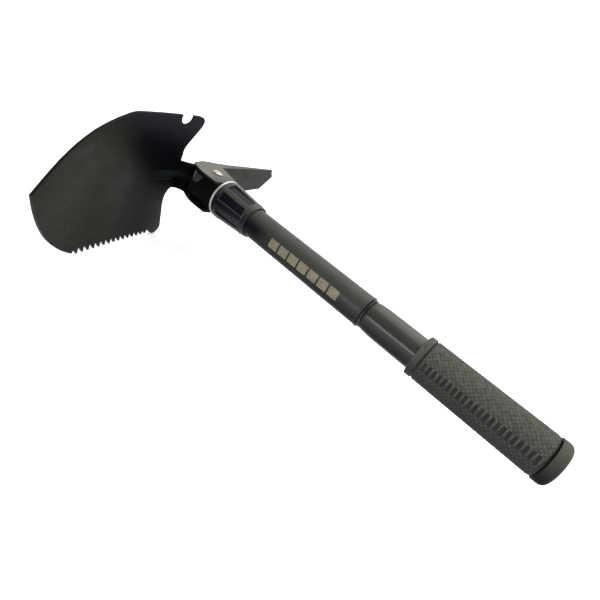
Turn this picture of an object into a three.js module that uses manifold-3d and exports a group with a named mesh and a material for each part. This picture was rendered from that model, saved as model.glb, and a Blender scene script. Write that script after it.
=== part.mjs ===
// A folding camp shovel: a dished blade with a saw edge and a bottle opener, a folding pick, a screw collar
// that locks both on one rivet, and a two-part tube handle with a rubber grip and a screw cap.
//
// Frame: millimetres. +X runs along the handle from the butt to the head, +Y is the way the blade points,
// +Z is the bottle-opener side. The origin is the centre of the flat butt face.

import * as THREE from 'three';
import { mergeVertices } from 'three/addons/utils/BufferGeometryUtils.js';
import Module from 'manifold-3d';

const wasm = await Module();
wasm.setup();

// ---- driving dimensions ----

const GAP = 0.3; // between faces that touch on the real tool
const ROUND = 48; // segments of a turned piece
const THREAD_ROUND = 32;
const DEG = Math.PI / 180;

// handle stations along X
const CAP_LENGTH = 6.6;
const GRIP_FRONT = 83.6;
const JOINT_X = 119.7;
const NUT_REAR = 218.1;
const RING_FACE = 249.3;
const PIVOT_X = 263.9;

// handle tubes
const TUBE_R = 10;
const TUBE_WALL = 1;
const TUBE_BORE = TUBE_R - TUBE_WALL;
const SWAGED_R = 9.3;
const SWAGE_LENGTH = 9;
const LIP = 0.3; // the upper tube's mouth stands proud by this

// grip and cap
const GRIP_R = 12.5;
const CAP_R = 12.8;
const GRIP_COLLAR_LENGTH = 4.1;
const BUTT_ROUND = 3;

// leads of the three screws
const NUT_LEAD = 3;
const HANDLE_LEAD = 3;
const CAP_LEAD = 2.5;

// lock nut and its metal ring
const RING_R = 13.7;
const RING_THICKNESS = 1.2;
const NUT_HEAD_R = 13.6;
const NUT_REAR_R = 11.7;
const NUT_BORE = TUBE_R + 0.4;
const INSERT_R = 11.4;
const INSERT_LENGTH = 9;
const NUT_POCKETS = 8;
const NUT_POCKET_DEPTH = 0.9;

// head: layers on the rivet, counted out from the handle's middle plane
const BLOCK_HALF = 8;
const SHEET = 1.4; // thickness of the pressed ears
const BLADE_EAR = BLOCK_HALF + GAP;
const PICK_EAR = BLADE_EAR + SHEET + GAP;
const HEAD_HALF = PICK_EAR + SHEET;
const EAR_R = 14.2; // outline of an ear where it sweeps past the lock ring
const BLOCK_HALF_WIDTH = 12;
const BLOCK_NOSE_R = 13.9;
const BLOCK_BASE = RING_FACE + GAP - PIVOT_X;
const SADDLE_R = EAR_R + 0.4;
const RIVET_R = 2.5;
const RIVET_HOLE_R = RIVET_R + GAP;
const RIVET_HEAD_R = 3.8;

// blade, in its own axes: A from the rivet towards the tip, M from the rivet to the back of the blade
const BLADE_LIFT = 22 * DEG; // how far the blade leans towards the grip at rest
const BLADE_SHEET = 1.6;
const BLADE_OFFSET = 22.4; // middle of the sheet from the rivet's axis
const BLADE_TIP = 135.8;
const BLADE_HALF_WIDTH = 41;
const SAW_START = 93.4;
const SAW_END = 27;
const SAW_TEETH = 15;
const TOOTH_DEPTH = 3.5;
const SAW_START_Z = -42.2;
const SAW_END_Z = -43.9;
const DISH_DEPTH = 6;
const DISH_ROOT = 14;
const DISH_CREST = 60;
const NECK_HALF = BLADE_EAR + SHEET;
const NECK_BEND_R = 6; // of the face that shows
const NECK_LAP = 12; // how far the neck strip runs up the blade
const NECK_FLARE = 5.5; // how much wider the neck is, on the opener side, where it meets the blade
const FLARE_START = 0.87; // how far round the bend it starts, clear of the pick's plate at every angle
const RIB_HALF_WIDTH = 3.6;
const RIB_HEIGHT = 1.7;
const RIB_LENGTH = 44;

// pick, in its own axes: x outwards from the rivet, y towards the head end
const PICK_SHEET = 1.4;
const PICK_ROOT = [16.2, 12.1];
const PICK_SLOPE = 12 * DEG;
const PICK_LENGTH = 88; // of the web from its root to its point
const PICK_FLANGE_LENGTH = 80;
const PICK_CHAMFER_START = 73; // where the saw-side edge turns in to the point
const PICK_TAPER = 0.062; // how fast the saw-side edge leans in

// ---- solids ----

// One closed mesh with shared corners and faces pointing out.
function weld(geometry) {
  const bare = geometry.clone();
  bare.deleteAttribute('normal');
  bare.deleteAttribute('uv');
  const welded = mergeVertices(bare, 1e-4);
  const points = welded.attributes.position;
  const index = welded.index.array;
  const [a, b, c] = [new THREE.Vector3(), new THREE.Vector3(), new THREE.Vector3()];
  const kept = [];
  let volume = 0;
  for (let i = 0; i < index.length; i += 3) {
    const corners = [index[i], index[i + 1], index[i + 2]];
    if (new Set(corners).size < 3) continue;
    kept.push(...corners);
    a.fromBufferAttribute(points, corners[0]);
    b.fromBufferAttribute(points, corners[1]);
    c.fromBufferAttribute(points, corners[2]);
    volume += a.dot(b.cross(c));
  }
  welded.setIndex(volume < 0 ? kept.reverse() : kept);
  return welded;
}

// A boolean solid from a geometry; one that is a boolean solid already is passed through.
function toSolid(shape) {
  if (!shape.isBufferGeometry) return shape;
  const welded = weld(shape);
  const mesh = new wasm.Mesh({
    numProp: 3,
    vertProperties: new Float32Array(welded.attributes.position.array),
    triVerts: new Uint32Array(welded.index.array),
  });
  return new wasm.Manifold(mesh);
}

function toGeometry(shape) {
  if (shape.isBufferGeometry) return shape;
  const mesh = shape.getMesh();
  const geometry = new THREE.BufferGeometry();
  geometry.setAttribute('position', new THREE.BufferAttribute(new Float32Array(mesh.vertProperties), 3));
  geometry.setIndex(Array.from(mesh.triVerts));
  return geometry;
}

function join(...shapes) {
  return shapes.map(toSolid).reduce((sum, piece) => sum.add(piece));
}

function cut(shape, ...tools) {
  return tools.map(toSolid).reduce((rest, tool) => rest.subtract(tool), toSolid(shape));
}

function common(shape, other) {
  return toSolid(shape).intersect(toSolid(other));
}

// A solid turned about the handle's axis from [radius, x] corners.
function turned(corners, segments = ROUND) {
  const profile = corners.map(([radius, x]) => new THREE.Vector2(radius, x));
  profile.push(profile[0].clone());
  return new THREE.LatheGeometry(profile, segments).rotateZ(-Math.PI / 2);
}

// A solid turned about an axis along Z from [radius, z] corners.
function turnedUpright(corners, segments = 40) {
  const profile = corners.map(([radius, z]) => new THREE.Vector2(radius, z));
  profile.push(profile[0].clone());
  return new THREE.LatheGeometry(profile, segments).rotateX(Math.PI / 2);
}

function tube(outer, inner, from, to) {
  return turned([[inner, from], [outer, from], [outer, to], [inner, to]]);
}

// A flat plate: an outline in the XY plane, from one height to another.
function plate(outline, from, to, curveSegments = 24) {
  const options = { depth: to - from, bevelEnabled: false, curveSegments };
  return new THREE.ExtrudeGeometry(outline, options).translate(0, 0, from);
}

function polygon(points) {
  return new THREE.Shape(points.map(([x, y]) => new THREE.Vector2(x, y)));
}

function pinHole(radius) {
  return new THREE.CylinderGeometry(radius, radius, 60, 32).rotateX(Math.PI / 2);
}

// A box grid whose corners are moved by place(u, v, w): u and v run 0 to 1 over the sheet, w is -0.5 or 0.5.
function sheet(stepsU, stepsV, place) {
  const geometry = new THREE.BoxGeometry(1, 1, 1, stepsU, stepsV, 1);
  const points = geometry.attributes.position;
  for (let i = 0; i < points.count; i += 1) {
    const u = Math.round((points.getX(i) + 0.5) * stepsU) / stepsU;
    const v = Math.round((points.getY(i) + 0.5) * stepsV) / stepsV;
    const [x, y, z] = place(u, v, Math.sign(points.getZ(i)) / 2);
    points.setXYZ(i, x, y, z);
  }
  return geometry;
}

// ---- materials ----

function finish(color, roughness, metalness) {
  return new THREE.MeshStandardMaterial({ color, roughness, metalness });
}

const blackPaint = finish(0x1c1d1a, 0.45, 0.3);
const greyPaint = finish(0x77756c, 0.6, 0.3);
const tubePaint = finish(0x2d2e28, 0.4, 0.3);
const brightSteel = finish(0xc9c9c4, 0.3, 1);
const zincSteel = finish(0x8f8f88, 0.5, 0.9);
const nutPlastic = finish(0x17181b, 0.4, 0);
const gripRubber = finish(0x4a4a42, 0.85, 0);
const sealRubber = finish(0x151515, 0.8, 0);

const shovel = new THREE.Group();

function add(name, shape, material) {
  const mesh = new THREE.Mesh(toGeometry(shape), material);
  mesh.name = name;
  shovel.add(mesh);
  return mesh;
}

// ---- end cap: a moulded cap on a threaded plug, with a seal washer ----

const CAP_WALL = 3;
const CAP_INNER_R = 11;
const PLUG_R = 7.6;
const PLUG_END = 16;
const CAP_SOCKET_R = TUBE_BORE - GAP;
const CAP_SOCKET_START = 6.4;
const CAP_WASHER = [4.4, 6.1];

function endCap() {
  const flat = CAP_R - BUTT_ROUND;
  const corners = [[0, 0], [flat, 0]];
  for (let step = 1; step <= 4; step += 1) {
    const angle = (step / 4) * 90 * DEG;
    corners.push([flat + BUTT_ROUND * Math.sin(angle), BUTT_ROUND - BUTT_ROUND * Math.cos(angle)]);
  }
  corners.push([CAP_R, CAP_LENGTH], [CAP_INNER_R, CAP_LENGTH], [CAP_INNER_R, CAP_WALL], [0, CAP_WALL]);
  return turned(corners);
}

// Rings stand in for a thread's crests: the true helix is left out.
function ridged(outer, inner, from, to, pitch, depth) {
  const corners = [[inner, from], [outer - depth, from]];
  for (let x = from + 0.3 * pitch; x + 0.9 * pitch < to; x += pitch) {
    corners.push([outer - depth, x], [outer, x + 0.3 * pitch], [outer, x + 0.5 * pitch]);
    corners.push([outer - depth, x + 0.8 * pitch]);
  }
  corners.push([outer - depth, to], [inner, to]);
  return turned(corners, THREAD_ROUND);
}

function capPlug() {
  return join(
    ridged(PLUG_R, 0, CAP_WALL + GAP + 1.2, PLUG_END, CAP_LEAD, 0.5),
    turned([[0, CAP_WALL + GAP], [PLUG_R - 0.2, CAP_WALL + GAP], [PLUG_R - 0.2, 5], [0, 5]]),
  );
}

add('end_cap', endCap(), gripRubber);
add('cap_plug', capPlug(), nutPlastic);
add('cap_washer', tube(10.4, PLUG_R + GAP, ...CAP_WASHER), sealRubber);

// ---- lower handle: tube with a swaged end, grip sleeve, threaded socket and stud ----

const LOWER_END = JOINT_X - 0.9;
const STUD_COLLAR = [LOWER_END + GAP, LOWER_END + GAP + 0.9];
const STUD_R = 5;
const STUD_TIP = JOINT_X + 12;
const STUD_TAIL = JOINT_X - 17;
const JOINT_WASHER = [STUD_COLLAR[1] + 0.2, STUD_COLLAR[1] + 0.8];
const UPPER_START = JOINT_WASHER[1] + 0.2;

function lowerTube() {
  const taper = LOWER_END - SWAGE_LENGTH;
  const inner = SWAGED_R - TUBE_WALL;
  return turned([
    [TUBE_BORE, CAP_SOCKET_START],
    [TUBE_R, CAP_SOCKET_START],
    [TUBE_R, taper],
    [SWAGED_R + 0.35, taper + 0.6 * SWAGE_LENGTH],
    [SWAGED_R, LOWER_END - 0.6],
    [SWAGED_R - 0.4, LOWER_END],
    [inner, LOWER_END],
    [inner + 0.35, taper + 0.6 * SWAGE_LENGTH],
    [TUBE_BORE, taper],
  ]);
}

function gripSleeve() {
  const collar = GRIP_FRONT - GRIP_COLLAR_LENGTH;
  const start = CAP_LENGTH + GAP;
  return turned([
    [TUBE_R + GAP, start],
    [GRIP_R - 0.5, start],
    [GRIP_R, start + 0.5],
    [GRIP_R, collar - 0.9],
    [GRIP_R - 0.7, collar - 0.5],
    [GRIP_R - 0.7, collar],
    [GRIP_R, collar + 0.4],
    [GRIP_R, GRIP_FRONT - 0.9],
    [GRIP_R - 0.9, GRIP_FRONT],
    [TUBE_R + GAP, GRIP_FRONT],
  ]);
}

function jointStud() {
  const shank = SWAGED_R - TUBE_WALL - GAP;
  const body = turned([[0, STUD_TAIL], [shank, STUD_TAIL], [shank, JOINT_X], [0, JOINT_X]]);
  const collar = turned([
    [0, STUD_COLLAR[0]],
    [SWAGED_R, STUD_COLLAR[0]],
    [SWAGED_R, STUD_COLLAR[1]],
    [0, STUD_COLLAR[1]],
  ]);
  return join(body, collar, ridged(STUD_R, 0, STUD_COLLAR[1] - 0.2, STUD_TIP, HANDLE_LEAD, 0.6));
}

add('lower_tube', lowerTube(), tubePaint);
add('grip_sleeve', gripSleeve(), gripRubber);
add('cap_socket', tube(CAP_SOCKET_R, PLUG_R + GAP, CAP_SOCKET_START + 0.4, PLUG_END + 1), nutPlastic);
add('joint_stud', jointStud(), zincSteel);
add('joint_washer', tube(9, STUD_R + GAP, ...JOINT_WASHER), sealRubber);

// ---- upper tube, its threaded socket, and the threaded sleeve that the lock nut runs on ----

const SOCKET_END = JOINT_X + 17;
const TUBE_TOP = NUT_REAR + 9.6;
const SLEEVE_TAIL = NUT_REAR - 5.4;
const SLEEVE_BORE = 7;
const CROSS_PIN_X = NUT_REAR + 2.6;
const CROSS_PIN_R = 2;

function crossHole() {
  return new THREE.CylinderGeometry(CROSS_PIN_R + GAP, CROSS_PIN_R + GAP, 40, 24)
    .rotateX(Math.PI / 2)
    .translate(CROSS_PIN_X, 0, 0);
}

function upperTube() {
  const body = turned([
    [TUBE_BORE, UPPER_START],
    [TUBE_R + LIP - 0.2, UPPER_START],
    [TUBE_R + LIP, UPPER_START + 0.2],
    [TUBE_R + LIP, UPPER_START + 1.1],
    [TUBE_R, UPPER_START + 1.5],
    [TUBE_R, TUBE_TOP],
    [TUBE_BORE, TUBE_TOP],
  ]);
  return cut(body, crossHole());
}

function threadedSleeve() {
  const thread = ridged(TUBE_R, SLEEVE_BORE, TUBE_TOP + GAP, RING_FACE - 0.2, NUT_LEAD, 0.6);
  const tail = tube(TUBE_BORE - GAP, SLEEVE_BORE, SLEEVE_TAIL, TUBE_TOP + 2);
  return cut(join(thread, tail), crossHole());
}

function jointSocket() {
  const body = tube(TUBE_BORE - GAP, STUD_R + GAP, UPPER_START + 0.4, SOCKET_END - 2);
  const end = turned([
    [0, SOCKET_END - 3],
    [TUBE_BORE - GAP, SOCKET_END - 3],
    [TUBE_BORE - GAP, SOCKET_END],
    [0, SOCKET_END],
  ]);
  return join(body, end);
}

const crossPin = new THREE.CylinderGeometry(CROSS_PIN_R, CROSS_PIN_R, 2 * TUBE_R - 0.6, 24)
  .rotateX(Math.PI / 2);

add('upper_tube', upperTube(), tubePaint);
add('joint_socket', jointSocket(), zincSteel);
add('threaded_sleeve', threadedSleeve(), zincSteel);
add('cross_pin', crossPin, zincSteel).position.set(CROSS_PIN_X, 0, 0);

// ---- lock nut: a fluted plastic nut on a threaded insert, with a bright ring at its head end ----

const RING_REAR = RING_FACE - RING_THICKNESS;
const NUT_FRONT = RING_REAR - 0.2;

function lockNut() {
  const counterbore = NUT_FRONT - INSERT_LENGTH - GAP;
  const body = turned([
    [NUT_BORE, NUT_REAR],
    [NUT_REAR_R - 0.5, NUT_REAR],
    [NUT_REAR_R, NUT_REAR + 0.8],
    [NUT_HEAD_R, NUT_FRONT - 7],
    [NUT_HEAD_R, NUT_FRONT - 0.6],
    [NUT_HEAD_R - 0.6, NUT_FRONT],
    [INSERT_R + GAP, NUT_FRONT],
    [INSERT_R + GAP, counterbore],
    [NUT_BORE, counterbore],
  ]);
  const from = NUT_REAR + 5;
  const to = NUT_FRONT - 3.6;
  const slope = Math.atan2(NUT_HEAD_R - NUT_REAR_R, NUT_FRONT - 7 - NUT_REAR);
  const pockets = [];
  for (let i = 0; i < NUT_POCKETS; i += 1) {
    const pocket = new THREE.BoxGeometry(to - from, 5.4, 4)
      .translate(0, 0, 2 - NUT_POCKET_DEPTH)
      .rotateY(-slope)
      .translate((from + to) / 2, 0, (NUT_HEAD_R + NUT_REAR_R) / 2 + 0.1)
      .rotateX(((i + 0.5) / NUT_POCKETS) * 360 * DEG);
    pockets.push(pocket);
  }
  return cut(body, ...pockets);
}

add('lock_nut', lockNut(), nutPlastic);
add('nut_insert', tube(INSERT_R, NUT_BORE, NUT_FRONT - INSERT_LENGTH, NUT_FRONT - 0.2), zincSteel);
add('lock_ring', tube(RING_R, NUT_BORE, RING_REAR, RING_FACE), brightSteel);

// ---- pivot block: spigot, tongue and the saddle that the blade's ears turn in ----

const SPIGOT_R = SLEEVE_BORE - GAP;

// The part of the block's outline that stays outside the turning ears, on one side.
function saddleHorn(side) {
  const top = -Math.sqrt(SADDLE_R ** 2 - BLOCK_HALF_WIDTH ** 2);
  const low = Math.sqrt(SADDLE_R ** 2 - BLOCK_BASE ** 2);
  const fromAngle = Math.atan2(BLOCK_HALF_WIDTH, top);
  const toAngle = Math.atan2(low, BLOCK_BASE);
  const points = [[BLOCK_BASE, side * BLOCK_HALF_WIDTH]];
  for (let step = 0; step <= 8; step += 1) {
    const angle = fromAngle + ((toAngle - fromAngle) * step) / 8;
    points.push([SADDLE_R * Math.cos(angle), side * SADDLE_R * Math.sin(angle)]);
  }
  return polygon(points);
}

function pivotBlock() {
  const slab = plate(
    polygon([
      [BLOCK_BASE, -BLOCK_HALF_WIDTH],
      [20, -BLOCK_HALF_WIDTH],
      [20, BLOCK_HALF_WIDTH],
      [BLOCK_BASE, BLOCK_HALF_WIDTH],
    ]),
    -BLOCK_HALF,
    BLOCK_HALF,
  );
  const nose = new THREE.CylinderGeometry(BLOCK_NOSE_R, BLOCK_NOSE_R, 40, ROUND).rotateX(Math.PI / 2);
  const base = new THREE.BoxGeometry(BLOCK_NOSE_R + 6, 60, 60).translate(-(BLOCK_NOSE_R + 6) / 2, 0, 0);
  const tongue = common(slab, join(nose, base));
  const saddle = [-1, 1].map((side) => plate(saddleHorn(side), -NECK_HALF, NECK_HALF));
  const spigot = turned([
    [0, SLEEVE_TAIL - PIVOT_X],
    [SPIGOT_R, SLEEVE_TAIL - PIVOT_X],
    [SPIGOT_R, BLOCK_BASE + 1],
    [0, BLOCK_BASE + 1],
  ]);
  return cut(join(tongue, ...saddle, spigot), pinHole(RIVET_HOLE_R), crossHole().translate(-PIVOT_X, 0, 0));
}

function pivotRivet() {
  const head = HEAD_HALF + GAP;
  const tail = -(HEAD_HALF + GAP + 1.1);
  const dome = [
    [RIVET_HEAD_R, head],
    [RIVET_HEAD_R - 0.2, head + 0.6],
    [RIVET_HEAD_R - 1.4, head + 1.15],
    [0, head + 1.35],
  ];
  const upset = [[RIVET_HEAD_R - 0.6, tail - 0.8], [RIVET_HEAD_R - 0.3, tail]];
  return turnedUpright([[0, tail - 1.2], ...upset, [RIVET_R, tail], [RIVET_R, head], ...dome]);
}

function rivetWasher() {
  const top = -(HEAD_HALF + GAP);
  return turnedUpright([[RIVET_R + GAP, top - 0.8], [5, top - 0.8], [5, top], [RIVET_R + GAP, top]]);
}

add('pivot_block', pivotBlock(), blackPaint).position.set(PIVOT_X, 0, 0);
add('pivot_rivet', pivotRivet(), brightSteel).position.set(PIVOT_X, 0, 0);
add('rivet_washer', rivetWasher(), zincSteel).position.set(PIVOT_X, 0, 0);

// ---- blade: one pressed sheet with a dished face, a bent neck and two ears ----

const BEND_CENTRE_Y = BLOCK_NOSE_R + 5.1;
const BEND_CENTRE_X =
  (BLADE_OFFSET - BLADE_SHEET / 2 - NECK_BEND_R - BEND_CENTRE_Y * Math.sin(BLADE_LIFT)) / Math.cos(BLADE_LIFT);

// The blade's own axes: x is A, y is minus M, z is the tool's Z.
function toBlade(x, y) {
  const turn = -(Math.PI / 2 + BLADE_LIFT);
  return [x * Math.cos(turn) - y * Math.sin(turn), x * Math.sin(turn) + y * Math.cos(turn)];
}

function smooth(t) {
  const s = Math.min(Math.max(t, 0), 1);
  return s * s * (3 - 2 * s);
}

function dish(a, z) {
  const along = smooth((a - DISH_ROOT) / (DISH_CREST - DISH_ROOT)) * smooth((BLADE_TIP - a) / 60 + 0.15);
  return DISH_DEPTH * along * Math.max(0, 1 - (z / 46) ** 2);
}

function bladeOutline() {
  const outline = new THREE.Shape();
  outline.moveTo(DISH_ROOT, NECK_HALF + NECK_FLARE);
  outline.quadraticCurveTo(15, 17.2, 14.2, 18.8);
  outline.quadraticCurveTo(13.4, 20.4, 11.6, 22.6);
  outline.lineTo(1.8, 32.6);
  outline.quadraticCurveTo(-2, 37.6, 1.8, 39.4);
  outline.quadraticCurveTo(4, 40.5, 7, BLADE_HALF_WIDTH - 0.3);
  outline.lineTo(20, BLADE_HALF_WIDTH);
  outline.lineTo(72, 39.8);
  outline.quadraticCurveTo(77.4, 39.6, 82, 37.4);
  outline.quadraticCurveTo(113.5, 25.6, BLADE_TIP, -0.3);
  outline.quadraticCurveTo(123, -31.2, 97.6, -40.8);
  outline.lineTo(96.4, SAW_START_Z + TOOTH_DEPTH);
  const pitch = (SAW_START - SAW_END) / (SAW_TEETH - 1);
  for (let tooth = 0; tooth < SAW_TEETH; tooth += 1) {
    const a = SAW_START - tooth * pitch;
    const z = SAW_START_Z + ((SAW_END_Z - SAW_START_Z) * tooth) / (SAW_TEETH - 1);
    outline.lineTo(a, z);
    outline.lineTo(a - 0.2 * pitch, z + TOOTH_DEPTH);
    outline.lineTo(a - 0.34 * pitch, z + TOOTH_DEPTH);
  }
  outline.quadraticCurveTo(20.4, SAW_END_Z - 1.8, 16, SAW_END_Z - 1.8);
  outline.quadraticCurveTo(9.8, SAW_END_Z - 1.4, 9.8, -40.8);
  outline.lineTo(17.6, -22.4);
  outline.lineTo(18.6, -17.4);
  outline.quadraticCurveTo(19, -11.6, DISH_ROOT, -NECK_HALF);
  return outline;
}

// Upright prism on an outline drawn in the blade's A and Z.
function bladePrism(outline) {
  return new THREE.ExtrudeGeometry(outline, { depth: 60, bevelEnabled: false, curveSegments: 16 }).rotateX(Math.PI / 2);
}

function openerNotch() {
  const notch = new THREE.Shape();
  notch.moveTo(31, 50);
  notch.lineTo(31, 40.5);
  notch.absellipse(23.8, 39.4, 7.2, 4.5, 0.12, -Math.PI - 0.35, true);
  notch.lineTo(20.2, 41.3);
  notch.lineTo(20.2, 50);
  return notch;
}

function bladeFace() {
  const [rearA, rearZ] = [-3, 50];
  const face = sheet(32, 14, (u, v, w) => {
    const a = rearA + u * (BLADE_TIP + 1 - rearA);
    const z = rearZ * (2 * v - 1);
    return [a, -(BLADE_OFFSET + dish(a, z)) + w * BLADE_SHEET, z];
  });
  return cut(common(face, bladePrism(bladeOutline())), bladePrism(openerNotch()));
}

// A point of the neck: s runs from its free edge round the bend and up the blade, z is across,
// and rise is the height over the middle of the sheet, towards the face that shows.
const NECK_R = NECK_BEND_R + BLADE_SHEET / 2;
const NECK_START = -95 * DEG;
const NECK_ARC = NECK_R * (BLADE_LIFT - NECK_START);
const NECK_END_A = toBlade(
  BEND_CENTRE_X + NECK_R * Math.cos(BLADE_LIFT),
  BEND_CENTRE_Y + NECK_R * Math.sin(BLADE_LIFT),
)[0];

function neckPoint(s, z, rise) {
  if (s < NECK_ARC) {
    const angle = s / NECK_R + NECK_START;
    const r = NECK_R - rise;
    const [a, y] = toBlade(BEND_CENTRE_X + r * Math.cos(angle), BEND_CENTRE_Y + r * Math.sin(angle));
    return [a, y, z];
  }
  const a = NECK_END_A + s - NECK_ARC;
  return [a, -(BLADE_OFFSET + dish(a, z)) + rise, z];
}

function bladeNeck() {
  return sheet(20, 4, (u, v, w) => {
    const s = u * (NECK_ARC + NECK_LAP);
    const thickness = BLADE_SHEET - 0.2 * smooth((s - NECK_ARC) / 0.6);
    const flare = v > 0.5 ? NECK_FLARE * smooth((s / NECK_ARC - FLARE_START) / (1 - FLARE_START)) : 0;
    return neckPoint(s, (NECK_HALF + flare) * (2 * v - 1), w * thickness);
  });
}

// The half-round rib pressed along the neck, fading out on the blade.
function neckRib() {
  return sheet(26, 8, (u, v, w) => {
    const across = 2 * v - 1;
    const fade = smooth((1 - u) / 0.35);
    const height = BLADE_SHEET / 2 - 0.15 + RIB_HEIGHT * fade * Math.sqrt(1 - across ** 2);
    return neckPoint(1 + u * RIB_LENGTH, RIB_HALF_WIDTH * across, w > 0 ? height : 0);
  });
}

// An ear: a disc on the rivet, and the cheek that carries it to the end of the bent neck.
function bladeEar(side) {
  const middle = side * (BLADE_EAR + SHEET / 2);
  const radius = NECK_BEND_R + BLADE_SHEET / 2;
  const disc = new THREE.CylinderGeometry(EAR_R, EAR_R, SHEET, ROUND).rotateX(Math.PI / 2).translate(0, 0, middle);
  const corners = [
    [0, 0],
    [EAR_R * Math.cos(12 * DEG), -EAR_R * Math.sin(12 * DEG)],
    [BEND_CENTRE_X + radius, BEND_CENTRE_Y],
    [BEND_CENTRE_X, BEND_CENTRE_Y],
    [BEND_CENTRE_X, BEND_CENTRE_Y - radius],
    [4.6, BEND_CENTRE_Y - radius],
  ];
  const bend = new THREE.CylinderGeometry(radius, radius, 60, ROUND)
    .rotateX(Math.PI / 2)
    .translate(BEND_CENTRE_X, BEND_CENTRE_Y, 0);
  const cheek = plate(polygon(corners), middle - SHEET / 2, middle + SHEET / 2);
  const turn = -(Math.PI / 2 + BLADE_LIFT);
  return join(disc.rotateZ(turn), cut(cheek.rotateZ(turn), bend.rotateZ(turn)));
}

function blade() {
  const body = join(bladeFace(), bladeNeck(), neckRib(), bladeEar(1), bladeEar(-1));
  return cut(body, pinHole(RIVET_HOLE_R));
}

const bladeMesh = add('blade', blade(), blackPaint);
bladeMesh.position.set(PIVOT_X, 0, 0);
bladeMesh.rotation.z = Math.PI / 2 + BLADE_LIFT;

// ---- pick: a pressed channel that tapers to a point, with two ears on the rivet ----

const WEB_ROOT_X = PICK_ROOT[0];
const WEB_ROOT_Y = PICK_ROOT[1];

function pickEar(from, to) {
  const outline = new THREE.Shape();
  outline.moveTo(-14.6, -EAR_R);
  outline.lineTo(1, -EAR_R);
  outline.absarc(0, 0, EAR_R, -86 * DEG, -44 * DEG, false);
  outline.lineTo(WEB_ROOT_X, WEB_ROOT_Y);
  outline.lineTo(WEB_ROOT_X, 19.6);
  outline.lineTo(2.1, 19.2);
  outline.lineTo(-9.3, 14.3);
  outline.quadraticCurveTo(-13.5, 8, -14.9, -1);
  return plate(outline, from, to);
}

// A flange along one edge of the web: it narrows to the point and leans in by the slope given.
function pickFlange(reach, from, to, lean) {
  const length = reach * Math.cos(PICK_SLOPE);
  const rise = reach * Math.sin(PICK_SLOPE);
  const outline = polygon([
    [-0.4, 0],
    [length, rise],
    [length + 1, rise + 1.6],
    [12, 20.3 - WEB_ROOT_Y],
    [-0.4, 19.6 - WEB_ROOT_Y],
  ]);
  const geometry = plate(outline, from, to);
  const points = geometry.attributes.position;
  for (let i = 0; i < points.count; i += 1) {
    points.setZ(i, points.getZ(i) + lean * Math.max(0, points.getX(i)));
  }
  return geometry.translate(WEB_ROOT_X, WEB_ROOT_Y, 0);
}

// The web, flat, drawn outwards from its root: x along it, y across the tool.
function pickWeb() {
  const edge = (x) => -HEAD_HALF + PICK_TAPER * x * Math.cos(PICK_SLOPE);
  return polygon([
    [0, -HEAD_HALF],
    [PICK_CHAMFER_START, edge(PICK_CHAMFER_START)],
    [PICK_LENGTH, 5],
    [PICK_LENGTH - 4.4, 8.9],
    [PICK_FLANGE_LENGTH + 2.4, HEAD_HALF],
    [0, HEAD_HALF],
    [0, 8.8],
    [7.5, 7.4],
    [7.5, -7.4],
    [0, -8.8],
  ]);
}

function pick() {
  const web = plate(pickWeb(), -PICK_SHEET, 0)
    .rotateX(Math.PI / 2)
    .rotateZ(PICK_SLOPE)
    .translate(WEB_ROOT_X, WEB_ROOT_Y, 0);
  const upper = join(pickEar(PICK_EAR, HEAD_HALF), pickFlange(PICK_FLANGE_LENGTH, PICK_EAR, HEAD_HALF, 0));
  const lower = join(
    pickEar(-HEAD_HALF, -PICK_EAR),
    pickFlange(PICK_CHAMFER_START - 2, -HEAD_HALF, -PICK_EAR, PICK_TAPER),
  );
  return cut(join(upper, lower, web), pinHole(RIVET_HOLE_R));
}

const pickMesh = add('pick', pick(), greyPaint);
pickMesh.position.set(PIVOT_X, 0, 0);
pickMesh.rotation.z = -Math.PI / 2;

export default shovel;
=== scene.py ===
"""A folding camp shovel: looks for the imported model. Metres, +X from the butt to the head, +Z up."""
import math

import bpy
from mathutils import Matrix, Vector


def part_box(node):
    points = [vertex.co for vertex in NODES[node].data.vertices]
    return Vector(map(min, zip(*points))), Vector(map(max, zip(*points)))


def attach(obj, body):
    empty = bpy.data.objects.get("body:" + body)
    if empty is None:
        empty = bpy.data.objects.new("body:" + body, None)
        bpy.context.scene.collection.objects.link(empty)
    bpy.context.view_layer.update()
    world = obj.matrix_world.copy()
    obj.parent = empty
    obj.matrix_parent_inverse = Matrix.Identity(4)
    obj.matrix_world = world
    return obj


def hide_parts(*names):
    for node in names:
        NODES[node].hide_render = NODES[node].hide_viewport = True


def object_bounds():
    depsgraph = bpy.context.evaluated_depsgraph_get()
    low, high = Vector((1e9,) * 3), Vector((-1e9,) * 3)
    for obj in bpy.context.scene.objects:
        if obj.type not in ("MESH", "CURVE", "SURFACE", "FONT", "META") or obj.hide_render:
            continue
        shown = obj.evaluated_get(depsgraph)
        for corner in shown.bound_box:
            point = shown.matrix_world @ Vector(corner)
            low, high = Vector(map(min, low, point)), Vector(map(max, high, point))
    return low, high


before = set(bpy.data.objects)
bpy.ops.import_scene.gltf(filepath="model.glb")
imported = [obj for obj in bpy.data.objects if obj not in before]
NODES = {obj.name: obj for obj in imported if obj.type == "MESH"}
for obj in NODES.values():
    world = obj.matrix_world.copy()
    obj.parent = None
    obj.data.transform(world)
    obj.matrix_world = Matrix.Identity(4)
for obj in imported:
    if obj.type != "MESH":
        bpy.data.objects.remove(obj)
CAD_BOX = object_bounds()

SCENE = bpy.context.scene
SCENE.view_settings.view_transform = "Standard"
MM = 0.001
TAU = 2 * math.pi

# The rivet that blade and pick fold on, mm from the butt, and how far the blade leans off square.
RIVET = 263.9
RIVET_X = RIVET * MM
BLADE_LEAN = math.radians(22)
BLADE_ALONG = Vector((-math.sin(BLADE_LEAN), math.cos(BLADE_LEAN), 0))
BLADE_OUT = Vector((math.cos(BLADE_LEAN), math.sin(BLADE_LEAN), 0))


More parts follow.
